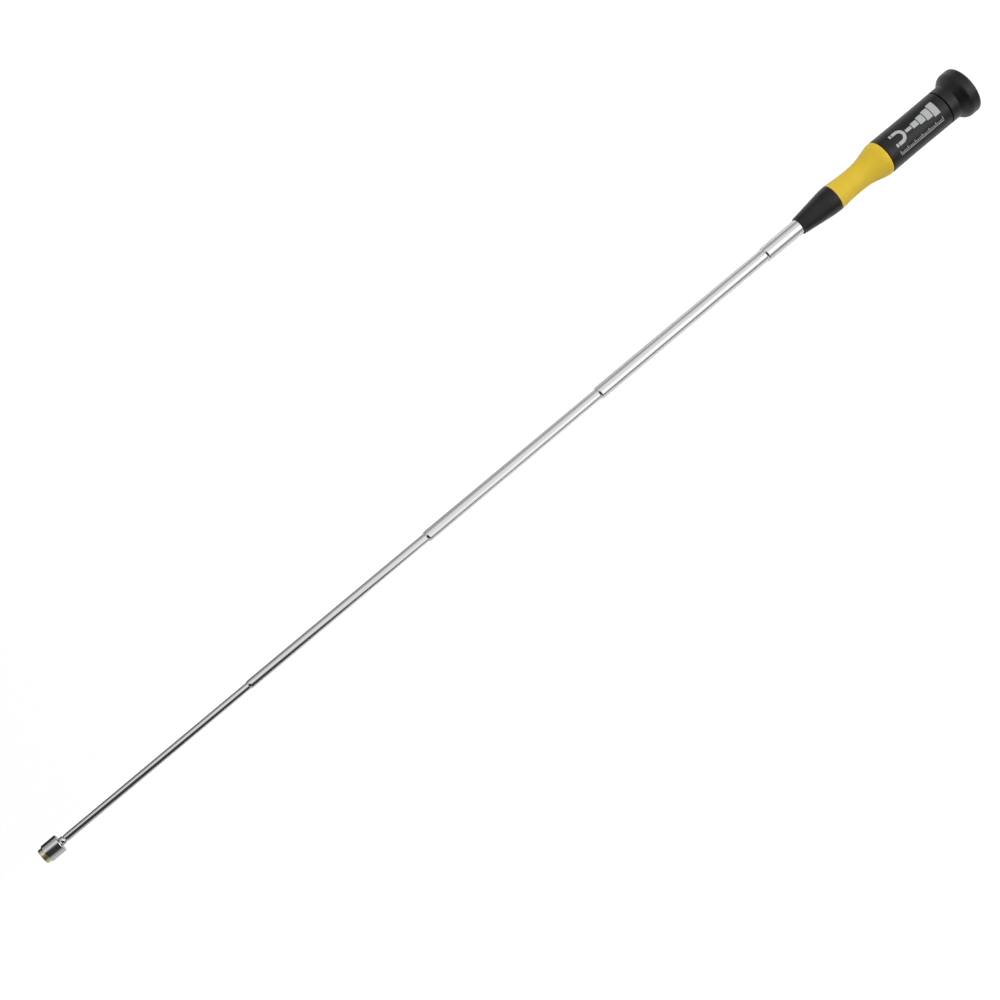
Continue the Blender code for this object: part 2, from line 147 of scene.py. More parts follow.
def refined(name, node, corner, mouth=0):
    # a rounder copy of an inner node: its own section, with small rounded corners, spun again
    # mouth is the angle that a split ring leaves open below
    shape = bmesh.new()
    shape.from_mesh(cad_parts[node].data)
    bmesh.ops.remove_doubles(shape, verts=shape.verts, dist=sectionGap / 10)
    bmesh.ops.bisect_plane(
        shape, geom=shape.verts[:] + shape.edges[:] + shape.faces[:], dist=sectionGap / 10,
        plane_co=(0, 0, 0), plane_no=(0, 1, 0), clear_inner=True, clear_outer=True,
    )
    below = [vert for vert in shape.verts if vert.co.z < -sectionGap]
    bmesh.ops.delete(shape, geom=below, context="VERTS")
    bmesh.ops.dissolve_limit(
        shape, angle_limit=math.radians(flatAngle), verts=shape.verts[:], edges=shape.edges[:],
    )
    corners = [v for v in shape.verts if len(v.link_edges) == 2]
    roundOff(shape, corners, [corner] * len(corners))
    if mouth:
        turn = Matrix.Rotation(math.pi + mouth / 2, 3, "X")
        bmesh.ops.rotate(shape, verts=shape.verts, cent=(0, 0, 0), matrix=turn)
        spinRound(shape, math.tau - mouth)
        bmesh.ops.holes_fill(shape, edges=shape.edges, sides=0)
    else:
        spinRound(shape)
    return intoPiece(shape, name)


def settle(piece, body, node, material):
    # every new piece rides on its body, stands for its node and takes its finish
    piece.data.materials.append(material)
    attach(piece, body)
    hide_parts(node)
    return piece


class Value:
    # one output of a node, on which plain arithmetic adds Math nodes
    def __init__(self, owner, socket):
        self.owner = owner
        self.socket = socket

    def maths(self, operation, *values):
        return self.owner.node("ShaderNodeMath", {"operation": operation}, dict(enumerate(values)))

    def __add__(self, other):
        return self.maths("ADD", self, other)

    def __sub__(self, other):
        return self.maths("SUBTRACT", self, other)

    def __rsub__(self, other):
        return self.maths("SUBTRACT", other, self)

    def __mul__(self, other):
        return self.maths("MULTIPLY", self, other)

    def __truediv__(self, other):
        return self.maths("DIVIDE", self, other)

    def __rtruediv__(self, other):
        return self.maths("DIVIDE", other, self)

    __radd__ = __add__
    __rmul__ = __mul__

    def size(self):
        return self.maths("ABSOLUTE", self)

    def ramp(self, start, stop):
        # eases from 0 at start to 1 at stop
        settings = {"interpolation_type": "SMOOTHSTEP"}
        values = {"Value": self, "From Min": start, "From Max": stop}
        return self.owner.node("ShaderNodeMapRange", settings, values)


class Tree:
    # adds nodes to a material's or the world's tree
    def __init__(self, holder):
        holder.use_nodes = True
        self.holder = holder
        self.tree = holder.node_tree

    def node(self, kind, settings=None, values=None, output=0):
        made = self.tree.nodes.new(kind)
        for name, value in (settings or {}).items():
            if name == "stops":
                for element, (place, colour) in zip(self.stopsOf(made, len(value)), value):
                    element.position = place
                    element.color = (*colour, 1)
            else:
                setattr(made, name, value)
        for name, value in (values or {}).items():
            self.feed(made.inputs[name], value)
        return Value(self, made.outputs[output])

    def stopsOf(self, made, count):
        elements = made.color_ramp.elements
        while len(elements) < count:
            elements.new(1)
        return elements

    def parts(self, vector):
        # the X, Y and Z (or red, green and blue) of a vector
        split = self.node("ShaderNodeSeparateXYZ", {}, {0: vector}).socket.node
        return [Value(self, output) for output in split.outputs]

    def feed(self, socket, value):
        if isinstance(value, Value):
            self.tree.links.new(value.socket, socket)
        elif hasattr(value, "__len__") and len(value) == 3 and socket.type == "RGBA":
            socket.default_value = (*value, 1)
        else:
            socket.default_value = value


class Finish(Tree):
    # a Principled material whose patterns follow the piece's own coordinates
    def __init__(self, name, colour, metallic, roughness, specular=0.5):
        super().__init__(bpy.data.materials.new(name))
        self.shader = self.tree.nodes["Principled BSDF"]
        self.place = self.node("ShaderNodeTexCoord", {}, {}, "Object")
        self.set("Base Color", colour)
        self.set("Metallic", metallic)
        self.set("Roughness", roughness)
        self.set("Specular IOR Level", specular)

    def set(self, name, value):
        self.feed(self.shader.inputs[name], value)

    def noise(self, grain, detail, roughness, stretch=(1, 1, 1), shift=(0, 0, 0)):
        # noise from 0 to 1 whose features are about grain metres wide, stretched along the axes
        scale = tuple(1 / (grain * along) for along in stretch)
        placing = {"Vector": self.place, "Scale": scale, "Location": shift}
        spot = self.node("ShaderNodeMapping", {}, placing)
        values = {"Vector": spot, "Scale": 1.0, "Detail": detail, "Roughness": roughness}
        return self.node("ShaderNodeTexNoise", {}, values)

    def blend(self, factor, first, second):
        values = {"Factor": factor, 6: first, 7: second}
        return self.node("ShaderNodeMix", {"data_type": "RGBA"}, values, 2)

    def relief(self, height, depth):
        # depth is the height in metres that a value of 1 stands for
        values = {"Height": height, "Distance": depth, "Strength": 1.0}
        self.set("Normal", self.node("ShaderNodeBump", {}, values))


plating = {
    "tint": (0.60, 0.60, 0.605),
    "lines": {"grain": 0.16 * mm, "detail": 2, "roughness": 0.6, "stretch": (60, 1, 1)},
    "haze": {"grain": 9 * mm, "detail": 4, "roughness": 0.6, "stretch": (3, 1, 1)},
    "rubLines": (0.62, 0.74),
    "rubHaze": (0.4, 0.7),
    "roughness": 0.05,
    "hazeRoughness": 0.05,
    "rubRoughness": 0.12,
    "dull": 0.93,
    "dullHaze": (0.45, 0.75),
    "hazeShare": 0.6,
    "rubShare": 0.3,
    "lineRelief": 0.7,
    "hazeRelief": 0.3,
    "depth": 0.0006 * mm,
}


def makeChrome(name, shift):
    # bright plating with faint drawing lines along the tube and a breath of haze
    tint = plating["tint"]
    finish = Finish(name, tint, 1.0, plating["roughness"])
    lines = finish.noise(**plating["lines"], shift=shift)
    haze = finish.noise(**plating["haze"], shift=shift)
    rub = lines.ramp(*plating["rubLines"]) * haze.ramp(*plating["rubHaze"])
    hazy = plating["roughness"] + haze * plating["hazeRoughness"]
    finish.set("Roughness", hazy + rub * plating["rubRoughness"])
    dull = tuple(part * plating["dull"] for part in tint)
    share = haze.ramp(*plating["dullHaze"]) * plating["hazeShare"] + rub * plating["rubShare"]
    finish.set("Base Color", finish.blend(share, tint, dull))
    height = lines * plating["lineRelief"] + haze * plating["hazeRelief"]
    finish.relief(height, plating["depth"])
    return finish.holder


gilding = {
    "gold": (0.69, 0.61, 0.35),
    "nickel": (0.62, 0.60, 0.54),
    "patches": {"grain": 0.5 * mm, "detail": 4, "roughness": 0.65},
    "bare": (0.48, 0.66),
    "bareAlong": (0.9 * mm, 0.05 * mm),
    "bareShare": 0.8,
    "roughness": 0.14,
    "pits": {"grain": 0.12 * mm, "detail": 3, "roughness": 0.6},
    "depth": 0.002 * mm,
}


def makeGold():
    # pale gold plating on the magnet, rubbed through to nickel at its front edge
    gold = gilding["gold"]
    finish = Finish("goldPlating", gold, 1.0, gilding["roughness"])
    x = finish.parts(finish.place)[0]
    patches = finish.noise(**gilding["patches"])
    bare = x.ramp(*gilding["bareAlong"]) * patches.ramp(*gilding["bare"])
    finish.set("Base Color", finish.blend(bare * gilding["bareShare"], gold, gilding["nickel"]))
    finish.set("Roughness", gilding["roughness"] + patches * gilding["roughness"])
    finish.relief(finish.noise(**gilding["pits"]), gilding["depth"])
    return finish.holder


plastic = {
    "black": (0.0048, 0.0045, 0.0041),
    "grey": (0.0078, 0.0075, 0.0070),
    "grain": {"grain": 0.22 * mm, "detail": 2, "roughness": 0.5},
    "cloud": {"grain": 7 * mm, "detail": 4, "roughness": 0.6},
    "clouded": (0.35, 0.7),
    "specular": 0.28,
    "roughness": 0.31,
    "cloudRoughness": 0.08,
    "grainRoughness": 0.05,
    "grainRelief": 0.7,
    "cloudRelief": 0.3,
    "depth": 0.006 * mm,
}


def makeBlackPlastic():
    # satin moulded plastic: near black and a little warm, fine grain, slightly uneven gloss
    black = plastic["black"]
    finish = Finish("blackPlastic", black, 0.0, plastic["roughness"], plastic["specular"])
    grain = finish.noise(**plastic["grain"])
    cloud = finish.noise(**plastic["cloud"])
    finish.set("Base Color", finish.blend(cloud.ramp(*plastic["clouded"]), black, plastic["grey"]))
    clouded = plastic["roughness"] + cloud * plastic["cloudRoughness"]
    finish.set("Roughness", clouded + grain * plastic["grainRoughness"])
    height = grain * plastic["grainRelief"] + cloud * plastic["cloudRelief"]
    finish.relief(height, plastic["depth"])
    return finish.holder


rubber = {
    "yellow": (0.610, 0.425, 0.021),
    "deep": (0.560, 0.378, 0.016),
    "deepShare": 0.6,
    "mottle": {"grain": 5 * mm, "detail": 4, "roughness": 0.6},
    "mottled": (0.35, 0.7),
    "specular": 0.35,
    "roughness": 0.50,
    "mottleRoughness": 0.10,
    "skinSize": 0.55 * mm,
    "skinSmoothness": 0.6,
    "skinRelief": 0.8,
    "mottleRelief": 0.2,
    "depth": 0.01 * mm,
}


def makeYellowRubber():
    # soft matte grip with a fine leathery skin and a faint mottle
    yellow = rubber["yellow"]
    finish = Finish("yellowRubber", yellow, 0.0, rubber["roughness"], rubber["specular"])
    mottle = finish.noise(**rubber["mottle"])
    cells = {"Vector": finish.place, "Scale": 1 / rubber["skinSize"]}
    cells["Smoothness"] = rubber["skinSmoothness"]
    skin = finish.node("ShaderNodeTexVoronoi", {"feature": "SMOOTH_F1"}, cells)
    deepened = mottle.ramp(*rubber["mottled"]) * rubber["deepShare"]
    finish.set("Base Color", finish.blend(deepened, yellow, rubber["deep"]))
    finish.set("Roughness", rubber["roughness"] + mottle * rubber["mottleRoughness"])
    height = skin * rubber["skinRelief"] + mottle * rubber["mottleRelief"]
    finish.relief(height, rubber["depth"])
    return finish.holder


ink = {
    "fresh": (0.36, 0.37, 0.38),
    "worn": (0.2, 0.2, 0.21),
    "wear": {"grain": 0.35 * mm, "detail": 3, "roughness": 0.6},
    "wornFrom": (0.5, 0.8),
    "wornShare": 0.5,
    "specular": 0.3,
    "roughness": 0.42,
    "wearRoughness": 0.15,
}


def makeInk():
    finish = Finish("greyInk", ink["fresh"], 0.0, ink["roughness"], ink["specular"])
    wear = finish.noise(**ink["wear"])
    share = wear.ramp(*ink["wornFrom"]) * ink["wornShare"]
    finish.set("Base Color", finish.blend(share, ink["fresh"], ink["worn"]))
    finish.set("Roughness", ink["roughness"] + wear * ink["wearRoughness"])
    return finish.holder


turning = {
    "ringStretch": (1, 400, 400),
    "stain": {"grain": 1.6 * mm, "detail": 4, "roughness": 0.6},
    "stained": (0.4, 0.75),
    "dull": 0.75,
    "stainRoughness": 0.12,
    "depth": 0.004 * mm,
}


def makeTurnedMetal(name, colour, roughness, ringWidth):
    # lathe rings across the axis over a slightly tarnished metal
    finish = Finish(name, colour, 1.0, roughness)
    rings = finish.noise(ringWidth, detail=2, roughness=0.6, stretch=turning["ringStretch"])
    stain = finish.noise(**turning["stain"])
    dull = tuple(part * turning["dull"] for part in colour)
    finish.set("Base Color", finish.blend(stain.ramp(*turning["stained"]), colour, dull))
    finish.set("Roughness", roughness + stain * turning["stainRoughness"])
    finish.relief(rings, turning["depth"])
    return finish.holder


nylon = {
    "fresh": (0.62, 0.60, 0.54),
    "aged": (0.55, 0.53, 0.46),
    "cloud": {"grain": 2.5 * mm, "detail": 3, "roughness": 0.6},
    "clouded": (0.4, 0.7),
    "specular": 0.4,
    "roughness": 0.40,
    "cloudRoughness": 0.12,
    "grain": {"grain": 0.3 * mm, "detail": 2, "roughness": 0.5},
    "depth": 0.004 * mm,
}


def makeNylon():
    finish = Finish("naturalNylon", nylon["fresh"], 0.0, nylon["roughness"], nylon["specular"])
    cloud = finish.noise(**nylon["cloud"])
    aged = cloud.ramp(*nylon["clouded"])
    finish.set("Base Color", finish.blend(aged, nylon["fresh"], nylon["aged"]))
    finish.set("Roughness", nylon["roughness"] + cloud * nylon["cloudRoughness"])
    finish.relief(finish.noise(**nylon["grain"]), nylon["depth"])
    return finish.holder


headChrome = makeChrome("headChrome", (3, 0, 0))
goldPlating = makeGold()
blackPlastic = makeBlackPlastic()
yellowRubber = makeYellowRubber()
greyInk = makeInk()
turnedBrass = makeTurnedMetal("turnedBrass", (0.72, 0.55, 0.28), 0.26, 0.08 * mm)
springBronze = makeTurnedMetal("springBronze", (0.66, 0.42, 0.24), 0.30, 0.20 * mm)
springSteel = makeTurnedMetal("springSteel", (0.36, 0.36, 0.38), 0.34, 0.15 * mm)
naturalNylon = makeNylon()
print("finishes made")


head = {
    "magnetEdge": 0.4 * mm,
    "cupFrontEdge": 0.28 * mm,
    "cupMouthEdge": 0.14 * mm,
    "cupRearRound": 0.4 * mm,
    "collarEdge": 0.35 * mm,
    "smallEdge": 0.08 * mm,
}


def makeHead():
    start, stop, radius = reach("magnet")
    outline = [
        (start, 0),
        (start, radius, head["magnetEdge"]),
        (stop, radius, head["smallEdge"]),
        (stop, 0),
    ]
    settle(turned("magnetCore", outline), "section_5", "magnet", goldPlating)

    start, stop, radius = reach("magnet_cup")
    floor = min(x for x in ringsOf("magnet_cup") if x > start + radius)
    seat = radiusAt("magnet_cup", start, min)
    hole = radiusAt("magnet_cup", stop, min)
    outline = [
        (start, seat, head["cupMouthEdge"]),
        (start, radius, head["cupFrontEdge"]),
        (stop, radius, head["cupRearRound"]),
        (stop, hole, head["smallEdge"]),
        (floor, hole),
        (floor, seat),
    ]
    settle(turned("magnetCup", outline), "section_5", "magnet_cup", headChrome)

    start, stop, radius = reach("head_stud")
    rings = ringsOf("head_stud")
    shank = radiusAt("head_stud", start)
    collarStart, collarStop = rings[1], rings[-2]
    outline = [
        (start, 0),
        (start, shank, head["smallEdge"]),
        (collarStart, shank),
        (collarStart, radius, head["collarEdge"]),
        (collarStop, radius, head["collarEdge"]),
        (collarStop, shank),
        (stop, shank, head["smallEdge"]),
        (stop, 0),
    ]
    settle(turned("headStud", outline), "section_5", "head_stud", headChrome)


makeHead()
print("magnet head made")


mast = {
    "numbers": (1, 2, 3, 4, 5),
    "lipLength": 1.6 * mm,
    "lipLand": 0.6 * mm,
    "lipSteps": 10,
    "lipInnerRun": 0.1 * mm,
    "endEdge": 0.05 * mm,
    "sleeveMouth": math.tau * 2 / 24,  # two of the node's 24 sides
}


def bodyOf(number):
    return "handle" if number == 1 else f"section_{number}"


def makeTube(number):
    node = f"tube_{number}"
    start, stop, flared = reach(node)
    rings = ringsOf(node)
    hole = radiusAt(node, start, min)
    lipEnd = start + mast["lipLength"]
    outer = radiusAt(node, min(rings, key=lambda x: abs(x - lipEnd)))
    tail = rings[-2] if number == 1 else stop
    bore = radiusAt(node, tail, min)
    outline = arc(lipEnd, hole, mast["lipLength"], outer - hole, 180, 90, mast["lipSteps"])
    if number == 1:
        outline += [(tail, outer, mast["endEdge"])]
    outline += [
        (stop, flared, mast["endEdge"]),
        (stop, radiusAt(node, stop, min), mast["endEdge"]),
    ]
    if number == 1:
        outline += [(tail, bore, mast["endEdge"])]
    outline += [
        (lipEnd + mast["lipInnerRun"], bore),
        (start + mast["lipLand"], hole),
    ]
    chrome = makeChrome(f"tubeChrome{number}", (number * 7, number, 0))
    settle(turned(f"mastTube{number}", outline), bodyOf(number), node, chrome)


def makeInnerPieces(number):
    bush = refined(f"endBush{number}", f"end_bush_{number}", mast["endEdge"])
    settle(bush, bodyOf(number), f"end_bush_{number}", turnedBrass)
    node = f"friction_sleeve_{number}"
    sleeve = refined(f"frictionSleeve{number}", node, 0, mast["sleeveMouth"])
    settle(sleeve, bodyOf(number), node, springBronze)


for tubeNumber in mast["numbers"]:
    makeTube(tubeNumber)
    if tubeNumber > 1:
        makeInnerPieces(tubeNumber)
print("mast made")


handle = {
    "noseFrontEdge": 0.22 * mm,
    "noseRearEdge": 0.25 * mm,
    "noseEase": 3.0 * mm,
    "gripSteps": 56,
    "gripFrontWall": 1.45 * mm,
    "gripWaistWall": 0.65 * mm,
    "gripWaistAt": 0.38,    # share of the grip's length
    "gripDip": 1.5,         # how steeply the wall thins towards the waist
    "gripSwell": 1.6,       # how late it thickens behind it
    "gripRearWall": 3.8 * mm,
    "gripRearRound": 1.3 * mm,
    "gripRoundStart": 80,
    "gripRoundSteps": 8,
    "gripFrontEdge": 0.12 * mm,
    "barrelSteps": 24,
    "barrelSwell": 0.15 * mm,
    "barrelEdge": 0.28 * mm,
    "innerEdge": 0.1 * mm,
    "plugEdge": 0.2 * mm,
    "clipMouth": math.tau * 8 / 32,  # eight of the node's 32 sides
}


def makeNose():
    start, stop, radius = reach("nose_cone")
    rings = ringsOf("nose_cone")
    front = radiusAt("nose_cone", rings[1])
    bore = radiusAt("nose_cone", start, min)
    socket = radiusAt("nose_cone", stop, min)
    socketStart = next(x for x in rings[2:] if radiusAt("nose_cone", x, min) < socket + mm)
    bandStart = rings[-4]
    outline = [
        (start, bore, handle["noseFrontEdge"] / 2),
        (start, front, handle["noseFrontEdge"]),
        (bandStart, radius, handle["noseEase"]),
        (stop, radius, handle["noseRearEdge"]),
        (stop, socket),
        (socketStart, socket),
        (socketStart, bore),
    ]
    settle(turned("noseCone", outline), "handle", "nose_cone", blackPlastic)


def gripWall(share, swellEnd):
    # thickness at a share of the grip's length: thin at the waist, thickest at the barrel
    waist, waistAt = handle["gripWaistWall"], handle["gripWaistAt"]
    if share < waistAt:
        dip = 1 - share / waistAt
        return waist + (handle["gripFrontWall"] - waist) * dip ** handle["gripDip"]
    along = min(1.0, (share - waistAt) / (swellEnd - waistAt)) ** handle["gripSwell"]
    return waist + (handle["gripRearWall"] - waist) * along * along * (3 - 2 * along)


def makeGrip():
    start, stop = reach("grip_sleeve")[:2]
    bore = radiusAt("grip_sleeve", stop, min)
    length = stop - start
    roundLength = handle["gripRearRound"]
    swellEnd = 1 - roundLength / length
    steps = handle["gripSteps"]
    outline = []
    for step in range(steps + 1):
        share = step / steps * swellEnd
        corner = (handle["gripFrontEdge"],) if step == 0 else ()
        outline.append((start + share * length, bore + gripWall(share, swellEnd), *corner))
    drop = roundLength / 2
    shoulder = outline[-1][1] - drop
    turnFrom, turnSteps = handle["gripRoundStart"], handle["gripRoundSteps"]
    outline += arc(stop - roundLength, shoulder, roundLength, drop, turnFrom, 0, turnSteps)
    outline += [(stop, bore, handle["innerEdge"]), (start, bore, handle["innerEdge"])]
    settle(turned("gripSleeve", outline), "handle", "grip_sleeve", yellowRubber)


gripEnd = reach("grip_sleeve")[1]
barrelStart = min(x for x in ringsOf("handle_barrel") if x > gripEnd)
barrelEnd = reach("handle_barrel")[1]
barrelCentre = (barrelStart + barrelEnd) / 2
barrelMiddle = min(ringsOf("handle_barrel"), key=lambda x: abs(x - barrelCentre))
barrelWaist = radiusAt("handle_barrel", barrelMiddle)


def barrelRadius(share):
    # the barrel is narrowest at its middle
    return barrelWaist + handle["barrelSwell"] * (2 * share - 1) ** 2


def makeBarrel():
    start, stop = reach("handle_barrel")[:2]
    rings = ringsOf("handle_barrel")
    bore = radiusAt("handle_barrel", start, min)
    spigot = radiusAt("handle_barrel", rings[1])
    coreStart = rings[2]
    core = radiusAt("handle_barrel", coreStart)
    seat = radiusAt("handle_barrel", stop, min)
    seatStart = max(x for x in rings if radiusAt("handle_barrel", x, min) < seat - mm)
    steps = handle["barrelSteps"]
    outline = [
        (start, bore, handle["innerEdge"]),
        (start, spigot, handle["barrelEdge"]),
        (coreStart, spigot),
        (coreStart, core),
        (barrelStart, core),
    ]
    for step in range(steps + 1):
        share = step / steps
        corner = (handle["barrelEdge"],) if step in (0, steps) else ()
        x = barrelStart + (stop - barrelStart) * share
        outline.append((x, barrelRadius(share), *corner))
    outline += [
        (stop, seat, handle["innerEdge"]),
        (seatStart, seat),
        (seatStart, bore),
    ]
    settle(turned("handleBarrel", outline), "handle", "handle_barrel", blackPlastic)


makeNose()
makeGrip()
makeBarrel()
plug = refined("rearPlug", "rear_plug", handle["plugEdge"])
settle(plug, "handle", "rear_plug", naturalNylon)
washer = refined("thrustWasher", "thrust_washer", handle["innerEdge"] / 2)
settle(washer, "handle", "thrust_washer", naturalNylon)
clip = refined("retainingClip", "retaining_clip", handle["innerEdge"], handle["clipMouth"])
settle(clip, "handle", "retaining_clip", springSteel)
print("handle made")


cap = {
    "neckEdge": 0.3 * mm,
    "flareFoot": 0.5 * mm,
    "neckLength": 6.2 * mm,
    "flareLength": 4.2 * mm,
    "flareDish": 0.45,
    "rimFrontEdge": 1.7 * mm,
    "rimRound": 1.7 * mm,
    "rimSteps": 10,
    "pocketEdge": 0.2 * mm,
    "discEdge": 0.4 * mm,
    "discGrooveRadius": 5.2 * mm,
    "discGrooveDepth": 0.25 * mm,
    "discGrooveWidth": 0.7 * mm,
}


def makeCap():
    start, stop, rim = reach("swivel_cap")
    rings = ringsOf("swivel_cap")
    bore = radiusAt("swivel_cap", start, min)
    neck = radiusAt("swivel_cap", rings[1])
    pocket = radiusAt("swivel_cap", stop, min)
    inner = [x for x in rings if radiusAt("swivel_cap", x, min) < pocket - sectionGap]
    pocketStart = inner[-1]
    cavity = radiusAt("swivel_cap", pocketStart, min)
    webRings = [x for x in inner if x > start + mm]
    webEnd = min(x for x in webRings if abs(radiusAt("swivel_cap", x, min) - bore) < sectionGap)
    flareStart = start + cap["neckLength"]
    flareEnd = flareStart + cap["flareLength"]
    middle = neck + cap["flareDish"] * (rim - neck)
    roundSize = cap["rimRound"]
    outline = [
        (start, bore, cap["pocketEdge"]),
        (start, neck, cap["neckEdge"]),
        (flareStart, neck, cap["flareFoot"]),
        ((flareStart + flareEnd) / 2, middle, cap["neckEdge"]),
        (flareEnd, rim, cap["rimFrontEdge"]),
    ]
    outline += arc(stop - roundSize, rim - roundSize, roundSize, roundSize, 90, 0, cap["rimSteps"])
    outline += [
        (stop, pocket, cap["pocketEdge"]),
        (pocketStart, pocket),
        (pocketStart, cavity),
        (webEnd, cavity, cap["pocketEdge"]),
        (webEnd, bore, cap["pocketEdge"]),
    ]
    settle(turned("swivelCap", outline), "cap", "swivel_cap", blackPlastic)


def makeEndDisc():
    start, stop, radius = reach("cap_end_disc")
    groove, width = cap["discGrooveRadius"], cap["discGrooveWidth"]
    depth = cap["discGrooveDepth"]
    outline = [
        (start, 0),
        (start, radius, cap["pocketEdge"]),
        (stop, radius, cap["discEdge"]),
        (stop, groove + width, depth / 3),
        (stop - depth, groove + width / 2, depth / 3),
        (stop, groove, depth / 3),
        (stop, 0),
    ]
    settle(turned("capEndDisc", outline), "cap", "cap_end_disc", blackPlastic)


makeCap()
makeEndDisc()
print("swivel cap made")


# a plain pictogram of a horseshoe magnet on a telescoping mast, with a row of ticks below
mark = {
    "centre": 22.4 * mm,       # behind the barrel's front edge
    "side": math.radians(13),  # turned this far towards +Y
    "inkRise": 0.02 * mm,
    "inkSink": 0.03 * mm,
    "horseshoeAt": -11.5 * mm,
    "horseshoeOuter": 4.3 * mm,
    "horseshoeInner": 2.3 * mm,
    "horseshoeLeg": 2.5 * mm,
    "horseshoeTip": 1.4 * mm,
    "horseshoeSteps": 20,
    "tipGap": 0.5 * mm,
    "bars": 4,
    "barsAt": -6.4 * mm,
    "barLength": 4.1 * mm,
    "barGap": 0.55 * mm,
    "barThin": 1.9 * mm,
    "barGrow": 1.5 * mm,
    "handleBar": 4.2 * mm,
    "tickRow": -8.6 * mm,
    "ticks": 31,
    "tickStep": 1.05 * mm,
    "tickWidth": 0.44 * mm,
    "tickShort": 0.9 * mm,
    "tickLong": 1.8 * mm,
    "longEvery": 5,
    "ruleWidth": 0.4 * mm,
    "cell": 0.6 * mm,
    "reach": 25.8 * mm,
}


def flatBlock(shape, left, right, low, high):
    # a flat rectangle of ink
    grid = bmesh.ops.create_grid(shape, x_segments=1, y_segments=1, size=0.5)["verts"]
    bmesh.ops.scale(shape, verts=grid, vec=(right - left, high - low, 1))
    middle = ((left + right) / 2, (low + high) / 2, 0)
    bmesh.ops.translate(shape, verts=grid, vec=middle)


def flatHorseshoe(shape):
    outer, inner, leg = mark["horseshoeOuter"], mark["horseshoeInner"], mark["horseshoeLeg"]
    centre = mark["horseshoeAt"]
    low = shape.verts.new((centre, -inner, 0))
    high = shape.verts.new((centre, -outer, 0))
    edge = shape.edges.new((low, high))
    bmesh.ops.spin(
        shape, geom=[low, high, edge], cent=(centre, 0, 0), axis=(0, 0, 1),
        dvec=(0, 0, 0), angle=math.pi, steps=mark["horseshoeSteps"], use_merge=False,
    )
    for side in (-1, 1):
        near, far = sorted((side * inner, side * outer))
        flatBlock(shape, centre - leg, centre, near, far)
        tipEnd = centre - leg - mark["tipGap"]
        flatBlock(shape, tipEnd - mark["horseshoeTip"], tipEnd, near, far)


def flatMast(shape):
    start = mark["barsAt"]
    for bar in range(mark["bars"]):
        half = (mark["barThin"] + bar * mark["barGrow"]) / 2
        flatBlock(shape, start, start + mark["barLength"], -half, half)
        start += mark["barLength"] + mark["barGap"]
    half = mark["horseshoeOuter"]
    flatBlock(shape, start, start + mark["handleBar"], -half, half)


def flatTicks(shape):
    row, step = mark["tickRow"], mark["tickStep"]
    first = -step * (mark["ticks"] - 1) / 2
    for tick in range(mark["ticks"]):
        tall = mark["tickShort"] if tick % mark["longEvery"] else mark["tickLong"]
        x = first + tick * step
        flatBlock(shape, x - mark["tickWidth"] / 2, x + mark["tickWidth"] / 2, row, row + tall)
    edge = mark["tickWidth"] / 2
    rule = row - 2 * mark["ruleWidth"]
    flatBlock(shape, first - edge, -first + edge, rule, rule + mark["ruleWidth"])


def cutIntoCells(shape):
    # small cells let the ink follow the barrel
    limit = mark["reach"]
    for axis in (0, 1):
        normal = Vector((axis == 0, axis == 1, 0))
        cuts = int(2 * limit / mark["cell"])
        for cut in range(cuts + 1):
            bmesh.ops.bisect_plane(
                shape, geom=shape.verts[:] + shape.edges[:] + shape.faces[:], dist=weldGap,
                plane_co=normal * (cut * mark["cell"] - limit), plane_no=normal,
            )


def makePrint():
    shape = bmesh.new()
    flatHorseshoe(shape)
    flatMast(shape)
    flatTicks(shape)
    cutIntoCells(shape)
    bmesh.ops.remove_doubles(shape, verts=shape.verts, dist=weldGap)
    bmesh.ops.recalc_face_normals(shape, faces=shape.faces)
    flat = shape.verts[:]
    raised = bmesh.ops.extrude_face_region(shape, geom=shape.faces[:] + shape.edges[:] + flat)
    top = {part for part in raised["geom"] if isinstance(part, bmesh.types.BMVert)}
    for vert in shape.verts:
        x = barrelStart + mark["centre"] + vert.co.x
        share = (x - barrelStart) / (barrelEnd - barrelStart)
        surface = barrelRadius(share)
        radius = surface + (mark["inkRise"] if vert in top else -mark["inkSink"])
        angle = mark["side"] + vert.co.y / surface
        vert.co = (x, radius * math.sin(angle), radius * math.cos(angle))
    printed = intoPiece(shape, "barrelPrint")
    printed.data.materials.append(greyInk)
    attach(printed, "handle")


makePrint()
print("print made")


